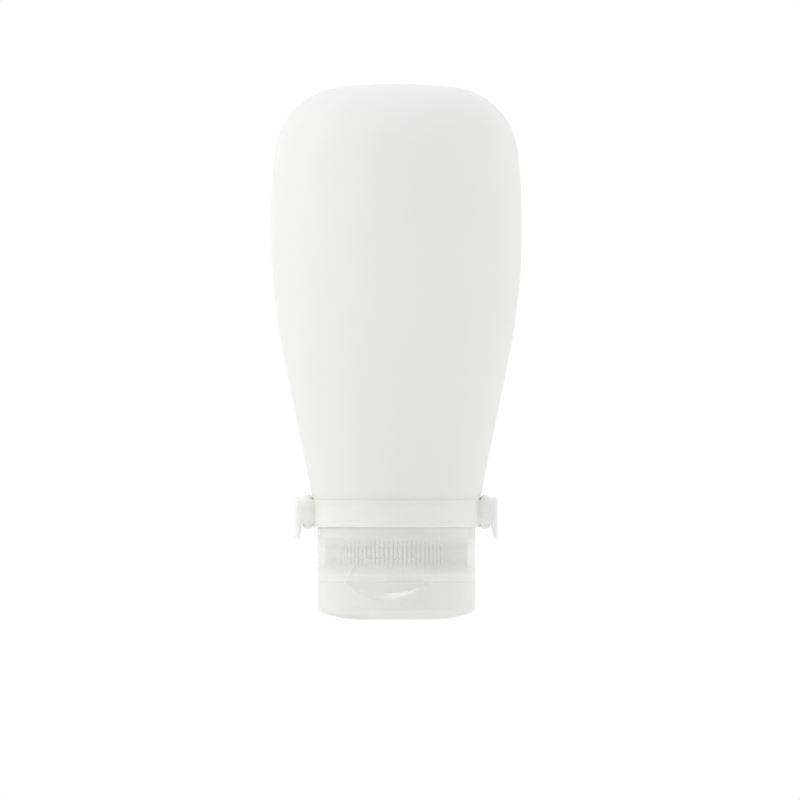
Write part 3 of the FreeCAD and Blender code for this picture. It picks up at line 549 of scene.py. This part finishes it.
# Shell: clear sleeve over the core, with the deck, the nozzle below it and the valve's snap seat above
shell = {
    "bore": 13.85, "deckTop": 8.65,
    "nozzleRadius": 3.4, "nozzleEnd": 4.9, "orificeRadius": 1.75,
    "seatRadius": 5.95, "seatOuter": 6.7, "seatTop": 11.45, "snapTop": 11.15, "snapLow": 10.85, "snapFoot": 10.55,
    "snapRadius": 5.65,
    "outerRound": 0.1, "rimRound": 0.08, "boreRound": 0.15, "seatRound": 0.1, "footRound": 0.2, "nozzleRound": 0.25,
    # outer face: from, to and how many rows
    "rows": [(7.62, 8.36, 6), (8.4, 8.6, 9), (8.7, 11.7, 20), (11.76, 12.14, 13), (12.3, 17.4, 12)],
}
outerRows = [(cap["radius"], up) for low, top, count in shell["rows"] for up in np.linspace(low, top, count)]
low = roundedSection([
    (shell["orificeRadius"], shell["deckTop"], 0),
    (shell["orificeRadius"], shell["nozzleEnd"], shell["boreRound"]),
    (shell["nozzleRadius"], shell["nozzleEnd"], shell["nozzleRound"]),
    (shell["nozzleRadius"], cap["shellLow"], shell["footRound"]),
    (cap["radius"], cap["shellLow"], shell["outerRound"]),
    (cap["radius"], cap["shellTop"], 0),
], closed=False)[1:-1]
high = roundedSection([
    (cap["radius"], cap["shellLow"], 0),
    (cap["radius"], cap["shellTop"], shell["rimRound"]),
    (shell["bore"], cap["shellTop"], shell["boreRound"]),
    (shell["bore"], shell["deckTop"], shell["boreRound"]),
    (shell["seatOuter"], shell["deckTop"], shell["footRound"]),
    (shell["seatOuter"], shell["seatTop"], shell["boreRound"]),
    (shell["seatRadius"], shell["seatTop"], shell["seatRound"]),
    (shell["snapRadius"], shell["snapTop"], 0),
    (shell["snapRadius"], shell["snapLow"], 0),
    (shell["seatRadius"], shell["snapFoot"], 0),
    (shell["seatRadius"], shell["deckTop"], 0),
    (shell["orificeRadius"], shell["deckTop"], shell["seatRound"]),
    (shell["orificeRadius"], shell["nozzleEnd"], 0),
], closed=False)[1:-1]
section = filledSection(low, cap["rowGap"], closed=False) + outerRows
section += filledSection(high, cap["rowGap"], closed=False)
clearShell = turnedPiece("clearShell", section, capAngles,
                         lambda angle, across, up: capShape(angle, across, up, shell["bore"]))
clearShell.data.materials.append(polypropyleneClearPolished)
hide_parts("cap_shell")
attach(clearShell, "cap")
print("clear shell:", len(clearShell.data.polygons), "faces")

# Lid: gently crowned end face, a thick plate inside it, and the skirt and pin that close the nozzle
lid = {
    "bore": 13.4, "flatRadius": 6.9, "crownArc": 23.3, "cornerArc": 1.6,
    "plate": 1.4, "haunch": 1.5, "skirtInner": 3.7, "skirtOuter": 4.7, "skirtTop": 6.45,
    "pinRadius": 1.45, "pinTop": 7.05, "pinPoint": 0.3,
    "outerRound": 0.1, "innerRound": 0.25, "haunchRound": 0.8, "skirtFoot": 0.3, "pinRound": 0.1, "arcSteps": 12,
    "rows": [(2.8, 3.4, 4), (3.5, 5.9, 18), (5.96, 6.16, 9), (6.24, 6.94, 6)],
}
cornerMid = cap["radius"] - lid["cornerArc"]
lidLean = math.asin((cornerMid - lid["flatRadius"]) / (lid["crownArc"] - lid["cornerArc"]))
cornerMidUp = lid["crownArc"] - (lid["crownArc"] - lid["cornerArc"]) * math.cos(lidLean)
crown = leaningArc((lid["flatRadius"], lid["crownArc"]), lid["crownArc"], math.pi, math.pi - lidLean, lid["arcSteps"])
corner = leaningArc((cornerMid, cornerMidUp), lid["cornerArc"], math.pi - lidLean, math.pi / 2, lid["arcSteps"])
outerRows = [(cap["radius"], up) for low, top, count in lid["rows"] for up in np.linspace(low, top, count)]
inner = roundedSection([
    (cap["radius"], cornerMidUp, 0),
    (cap["radius"], cap["lidTop"], lid["outerRound"]),
    (lid["bore"], cap["lidTop"], lid["innerRound"]),
    (lid["bore"], lid["plate"] + lid["haunch"], lid["haunchRound"]),
    (lid["flatRadius"] + lid["haunch"], lid["plate"], lid["haunchRound"]),
    (lid["skirtOuter"], lid["plate"], lid["skirtFoot"]),
    (lid["skirtOuter"], lid["skirtTop"], lid["innerRound"]),
    (lid["skirtInner"], lid["skirtTop"], lid["innerRound"]),
    (lid["skirtInner"], lid["plate"], lid["innerRound"]),
    (lid["pinRadius"], lid["plate"], lid["innerRound"]),
    (lid["pinRadius"], lid["pinTop"] - lid["pinPoint"], lid["pinRound"]),
    (lid["pinRadius"] - lid["pinPoint"], lid["pinTop"], lid["pinRound"]),
    (0, lid["pinTop"], 0),
], closed=False)[1:]
section = filledSection([(0, 0)] + crown + corner[1:] + outerRows, cap["rowGap"], closed=False)
section += filledSection(inner, cap["rowGap"], closed=False)
flipLid = turnedPiece("flipLid", section, capAngles,
                      lambda angle, across, up: capShape(angle, across, up, lid["bore"]), closed=False)
flipLid.data.materials.append(polypropyleneClearPolished)
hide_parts("flip_lid")
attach(flipLid, "lid")
print("flip lid:", len(flipLid.data.polygons), "faces")

# Hinge strip: thin leaf across the back, with a bead where it folds
strip = {
    "halfWidth": 3.2, "inner": 14.9, "outer": 15.3, "low": 6.125, "top": 8.425,
    "foldHeight": 7.275, "bead": 0.3, "foldReach": 0.55, "rows": 46, "columns": 12, "edgeRound": 0.12,
}
levels = np.linspace(strip["low"], strip["top"], strip["rows"] + 1)
outerLine = []
for up in levels:
    bulge = math.sqrt(max(strip["bead"] ** 2 - (up - strip["foldHeight"]) ** 2, 0))
    fromEnd = min(up - strip["low"], strip["top"] - up)
    setIn = strip["edgeRound"] - math.sqrt(strip["edgeRound"] ** 2 - max(strip["edgeRound"] - fromEnd, 0) ** 2)
    outerLine.append((strip["outer"] + bulge - setIn, up))
loop = outerLine + [(strip["inner"], up) for up in levels[::-1]]
places, faces = [], []
turnBack = math.pi + cap["clocking"]
for across in np.linspace(-strip["halfWidth"], strip["halfWidth"], strip["columns"] + 1):
    for back, up in loop:
        places.append(((back * math.sin(turnBack) + across * math.cos(turnBack)) * mm,
                       (across * math.sin(turnBack) - back * math.cos(turnBack)) * mm, up * mm))
count = len(loop)
for column in range(strip["columns"]):
    for row in range(count):
        here, after = column * count + row, column * count + (row + 1) % count
        faces.append((here, after, after + count, here + count))
half = count // 2
for first in (0, strip["columns"] * count):
    for row in range(half - 1):
        faces.append((first + row, first + row + 1, first + count - 2 - row, first + count - 1 - row))
hingeStrip = meshPiece("hingeStrip", places, faces)
hingeStrip.data.materials.append(polypropyleneClearPolished)
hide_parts("hinge_film")
reach = Vector((0, 0, strip["foldReach"] * mm))
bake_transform(hingeStrip)
print("hinge strip:", len(hingeStrip.data.polygons), "faces")

# Collar: a loose ring, and on each side a round knob on a stem that carries a plate with a thinner lower end
collar = {
    "bore": 13.95, "radius": 16.3, "low": 17.9, "top": 23.4, "edgeRound": 0.12, "boreRound": 0.2, "turns": 180,
    "bandRadius": 16.21, "rimHeights": (18.4, 22.9), "rimHalf": 0.34, "rimSteps": 10,
    "axisHeight": 20.9, "stemTall": 2.45, "stemWide": 3.55, "stemStart": 15.0, "stemEnd": 19.0, "stemSquare": 5,
    "knobTall": 2.35, "knobWide": 3.6, "knobMiddle": 17.2, "knobRound": 1.0, "lugTurns": 48,
    "plateStart": 18.35, "plateEnd": 19.7, "plateLow": 15.8, "plateTop": 23.65, "plateWidth": 7.4,
    "plateCorner": 2.4, "plateRound": 0.5, "innerRound": 0.3, "tipThickness": 0.95, "tipStart": 18.8,
    "plateInsets": (0.8, 1.3, 1.8, 2.3, 2.8, 3.3), "leastCorner": 0.05,
    "cornerSteps": 8, "sideSteps": 5, "roundSteps": 6, "knobSteps": 20, "edgeSteps": 8,
    "rowGap": 1.2, "sharpAngle": math.radians(38),
}


# Outline of the plate, front to back and up and down, set in from its rim
def plateOutline(inset):
    wide, tall = collar["plateWidth"] / 2 - inset, (collar["plateTop"] - collar["plateLow"]) / 2 - inset
    corner = max(collar["plateCorner"] - inset, collar["leastCorner"])
    points = []
    for number, (side, end) in enumerate(((1, -1), (1, 1), (-1, 1), (-1, -1))):
        for step in range(collar["cornerSteps"] + 1):
            angle = (number - 1 + step / collar["cornerSteps"]) * math.pi / 2
            points.append((side * (wide - corner) + corner * math.cos(angle),
                           end * (tall - corner) + corner * math.sin(angle)))
    filled = []
    for number, here in enumerate(points):
        filled.append(here)
        if number % (collar["cornerSteps"] + 1) == collar["cornerSteps"]:
            after = points[(number + 1) % len(points)]
            for step in range(1, collar["sideSteps"]):
                share = step / collar["sideSteps"]
                filled.append((here[0] + (after[0] - here[0]) * share, here[1] + (after[1] - here[1]) * share))
    return filled


def collarPlate(side):
    layers = [(collar["plateStart"], inset) for inset in reversed(collar["plateInsets"])]
    innerEdge = (collar["plateStart"] + collar["innerRound"], collar["innerRound"], -90)
    outerEdge = (collar["plateEnd"] - collar["plateRound"], collar["plateRound"], 0)
    for middle, rounding, first in (innerEdge, outerEdge):
        for step in range(collar["roundSteps"] + 1):
            angle = math.radians(first + 90 * step / collar["roundSteps"])
            layers.append((middle + rounding * math.sin(angle), rounding * (1 - math.cos(angle))))
    layers += [(collar["plateEnd"], inset) for inset in collar["plateInsets"]]
    places, faces = [], []
    middleHeight = (collar["plateTop"] + collar["plateLow"]) / 2
    thinning = 1 - collar["tipThickness"] / (collar["plateEnd"] - collar["plateStart"])
    for outward, inset in layers:
        for across, up in plateOutline(inset):
            height = middleHeight + up
            thin = 1 - thinning * smoothStep(collar["tipStart"] - height, 0, collar["tipStart"] - collar["plateLow"])
            place = collar["plateEnd"] - (collar["plateEnd"] - outward) * thin
            places.append((side * place * mm, across * mm, height * mm))
    count = len(plateOutline(0))
    for layer in range(len(layers) - 1):
        for row in range(count):
            here, after = layer * count + row, layer * count + (row + 1) % count
            faces.append((here, after, after + count, here + count))
    faces += [tuple(range(count)), tuple(range((len(layers) - 1) * count, len(layers) * count))]
    return meshPiece("collarPlate", places, faces)


# A piece turned about a line that runs sideways through the lug, wide times as deep as it is tall
def lugPiece(name, section, side, wide, shape=None):
    piece = turnedPiece(name, section, evenAngles(collar["lugTurns"], 0.5), shape, closed=False)
    lay = Matrix.Translation((0, 0, collar["axisHeight"] * mm)) @ Matrix.Rotation(side * math.pi / 2, 4, "Y")
    piece.data.transform(lay @ Matrix.Diagonal((1, wide, 1, 1)))
    return piece


def collarKnob(side):
    knob = leaningArc((collar["knobTall"], collar["knobMiddle"]), collar["knobRound"], math.pi, 0,
                      collar["knobSteps"])
    section = [(0, knob[0][1]), *knob, (0, knob[-1][1])]
    return lugPiece("collarKnob", section, side, collar["knobWide"] / (collar["knobTall"] + collar["knobRound"]))


# The stem's section is a rounded square, so that little room is left between ring, knob and plate
def stemShape(angle, across, up):
    power = collar["stemSquare"]
    return across * (abs(math.cos(angle)) ** power + abs(math.sin(angle)) ** power) ** (-1 / power)


def collarStem(side):
    tall, start, end = collar["stemTall"], collar["stemStart"], collar["stemEnd"]
    section = [(0, start), (tall, start), (tall, end), (0, end)]
    return lugPiece("collarStem", section, side, collar["stemWide"] / tall, stemShape)


# A low bead runs round the ring near each edge
beads = []
for middle in collar["rimHeights"]:
    for step in range(collar["rimSteps"] + 1):
        share = 2 * step / collar["rimSteps"] - 1
        swell = (collar["radius"] - collar["bandRadius"]) * (1 + math.cos(math.pi * share)) / 2
        beads.append((collar["bandRadius"] + swell, middle + share * collar["rimHalf"], 0))
section = filledSection(roundedSection([
    (collar["bore"], collar["low"], collar["boreRound"]),
    (collar["bandRadius"], collar["low"], collar["edgeRound"]),
    *beads,
    (collar["bandRadius"], collar["top"], collar["edgeRound"]),
    (collar["bore"], collar["top"], collar["boreRound"]),
], steps=collar["edgeSteps"]), collar["rowGap"])
ring = turnedPiece("collarRing", section, evenAngles(collar["turns"], 0.5))
lugs = [make(side) for make in (collarStem, collarKnob, collarPlate) for side in (1, -1)]
luggedCollar = combinedPiece("luggedCollar", ring, lugs, "UNION")
luggedCollar.data.set_sharp_from_angle(angle=collar["sharpAngle"])
luggedCollar.data.materials.append(polypropyleneSatinMoulded)
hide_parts("hanger_ring")
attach(luggedCollar, "collar")
print("collar:", len(luggedCollar.data.polygons), "faces")

# Washer that lies loose on the cap's deck, its edges softened by the punch
washer = {
    "bore": 8.6, "radius": 12.0, "low": 8.65, "top": 9.55, "edgeRound": 0.14,
    "edgeSteps": 4, "rowGap": 0.9, "turns": 120,
}
section = filledSection(roundedSection([
    (washer["bore"], washer["low"], washer["edgeRound"]),
    (washer["radius"], washer["low"], washer["edgeRound"]),
    (washer["radius"], washer["top"], washer["edgeRound"]),
    (washer["bore"], washer["top"], washer["edgeRound"]),
], steps=washer["edgeSteps"]), washer["rowGap"])
foamWasher = turnedPiece("foamWasher", section, evenAngles(washer["turns"]))
foamWasher.data.materials.append(polyethyleneFoamCut)
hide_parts("cap_liner")
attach(foamWasher, "washer")
print("washer:", len(foamWasher.data.polygons), "faces")

# Valve: flange on the deck and a low dome, whose thin top is cut crosswise into four petals
valve = {
    "flange": 5.85, "low": 8.65, "flangeTop": 9.45, "domeFoot": 4.3, "domeTop": 10.6, "domeFlat": 3.8,
    "hollowFoot": 3.3, "hollowFlat": 2.8, "hollowTop": 10.1, "edgeRound": 0.12, "foldRound": 0.25,
    "slitReach": 2.0, "slitWide": 0.08, "slitLow": 9.9, "slitTop": 10.8,
    "rowGap": 0.8, "turns": 96, "sharpAngle": math.radians(38),
}
section = filledSection(roundedSection([
    (0, valve["domeTop"], 0),
    (valve["domeFlat"], valve["domeTop"], valve["foldRound"]),
    (valve["domeFoot"], valve["flangeTop"], valve["edgeRound"]),
    (valve["flange"], valve["flangeTop"], valve["edgeRound"]),
    (valve["flange"], valve["low"], valve["edgeRound"]),
    (valve["hollowFoot"], valve["low"], valve["edgeRound"]),
    (valve["hollowFlat"], valve["hollowTop"], valve["foldRound"]),
    (0, valve["hollowTop"], 0),
], closed=False), valve["rowGap"], closed=False)
dome = turnedPiece("valveDome", section, evenAngles(valve["turns"]), closed=False)
places = []
for level in (valve["slitLow"], valve["slitTop"]):
    for quarter in range(4):
        turned = Matrix.Rotation(quarter * math.pi / 2 + cap["clocking"], 3, "Z")
        for across, along in ((1, -1), (1, 1), (0, 1)):
            reach = valve["slitReach"] if across else valve["slitWide"]
            places.append(turned @ Vector((reach * mm, along * valve["slitWide"] * mm, level * mm)))
count = len(places) // 2
faces = [tuple(range(count)), tuple(range(count, 2 * count))]
faces += [(row, (row + 1) % count, (row + 1) % count + count, row + count) for row in range(count)]
slitValve = combinedPiece("slitValve", dome, [meshPiece("valveSlits", places, faces)], "DIFFERENCE")
slitValve.data.set_sharp_from_angle(angle=valve["sharpAngle"])
slitValve.data.materials.append(siliconeSmoothMoulded)
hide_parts("slit_valve")
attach(slitValve, "cap")
print("valve:", len(slitValve.data.polygons), "faces")

# Core, spout and retainer keep the shape that the frame holds, and get their finish here
finishes = {
    "screw_core": polypropyleneRibbedMoulded,
    "neck_insert": polypropyleneNaturalMoulded,
    "valve_retainer": polypropyleneNaturalMoulded,
}
for name, material in finishes.items():
    nodes[name].material_slots[0].material = material
print("finishes set:", len(finishes))

# Floor: matt white sheet with the faintest tooth, lit from below as a product table is
floor = {
    "half": 4.0, "pale": "#B1B1B0", "deep": "#ACACAA", "glow": 1.3, "toothSize": 1.5 * mm,
    "roughness": 0.8, "shine": 0.2,
}
boardMattWhite, tree = newMaterial("boardMattWhite")
place = addNode(tree, "ShaderNodeTexCoord")
tooth = addNode(tree, "ShaderNodeTexNoise", {"Scale": 1 / floor["toothSize"], "Detail": 2.0},
                {"Vector": place.outputs["Object"]})
colour = addNode(tree, "ShaderNodeMix",
                 {"data_type": "RGBA", 6: linearColour(floor["pale"]), 7: linearColour(floor["deep"])},
                 {0: tooth.outputs["Fac"]})
skin = addNode(tree, "ShaderNodeBsdfPrincipled", {
    "Roughness": floor["roughness"], "Specular IOR Level": floor["shine"], "Emission Strength": floor["glow"],
}, {"Base Color": colour.outputs[2], "Emission Color": colour.outputs[2]})
addNode(tree, "ShaderNodeOutputMaterial", None, {"Surface": skin.outputs["BSDF"]})
half = floor["half"]
corners = [(-half, -half, 0), (half, -half, 0), (half, half, 0), (-half, half, 0)]
board = meshPiece("floorBoard", corners, [(0, 1, 2, 3)])
board.data.materials.append(boardMattWhite)

# Light: a white room that is dimmer on the viewer's side, a soft panel on the left,
# weaker ones on the right and above; places and sizes in metres
room = {"colour": "#FFFFFF", "bright": 1.0, "dim": 0.375, "dimStart": -0.15, "dimEnd": -0.95}
world = bpy.data.worlds.new("whiteRoom")
bpy.context.scene.world = world
world.use_nodes = True
tree = world.node_tree
tree.nodes.clear()
way = addNode(tree, "ShaderNodeTexCoord")
split = addNode(tree, "ShaderNodeSeparateXYZ", None, {"Vector": way.outputs["Generated"]})
fall = addNode(tree, "ShaderNodeMapRange", {
    "interpolation_type": "SMOOTHSTEP",
    "From Min": room["dimEnd"], "From Max": room["dimStart"],
    "To Min": room["dim"], "To Max": room["bright"],
}, {"Value": split.outputs["Y"]})
sky = addNode(tree, "ShaderNodeBackground", {"Color": linearColour(room["colour"])},
              {"Strength": fall.outputs["Result"]})
addNode(tree, "ShaderNodeOutputWorld", None, {"Surface": sky.outputs["Background"]})
panels = {
    "leftPanel": {"place": (-0.55, -0.3, 0.36), "width": 0.4, "height": 0.3, "power": 0.58},
    "rightPanel": {"place": (0.62, -0.52, 0.245), "width": 0.7, "height": 0.016, "power": 0.16},
    "topPanel": {"place": (-0.17, -0.42, 0.58), "width": 0.66, "height": 0.022, "power": 0.22},
    "glintPanel": {"place": (0.12, -0.42, 0.58), "width": 0.1, "height": 0.02, "power": 0.05},
}
aim = Vector((0, 0, 0.055))     # the middle of the bottle
for name, panel in panels.items():
    light = bpy.data.lights.new(name, "AREA")
    light.shape = "RECTANGLE"
    light.size, light.size_y, light.energy = panel["width"], panel["height"], panel["power"]
    lamp = bpy.data.objects.new(name, light)
    lamp.location = panel["place"]
    lamp.rotation_euler = (aim - lamp.location).to_track_quat("-Z", "Y").to_euler()
    lamp.visible_camera = False
    bpy.context.scene.collection.objects.link(lamp)
print("light set:", len(panels), "panels")

# Camera: level and straight on, so far off that it is drawn without perspective; in millimetres
view = {"span": 155.2, "centre": (0.68, 42.6), "distance": 760}
lens = bpy.data.cameras.new("camera")
lens.type = "ORTHO"
lens.ortho_scale = view["span"] * mm
camera = bpy.data.objects.new("camera", lens)
camera.location = (view["centre"][0] * mm, -view["distance"] * mm, view["centre"][1] * mm)
camera.rotation_euler = (math.pi / 2, 0, 0)
bpy.context.scene.collection.objects.link(camera)
bpy.context.scene.camera = camera
bpy.context.scene.view_settings.view_transform = "Standard"
print("camera set")

bpy.context.view_layer.update()
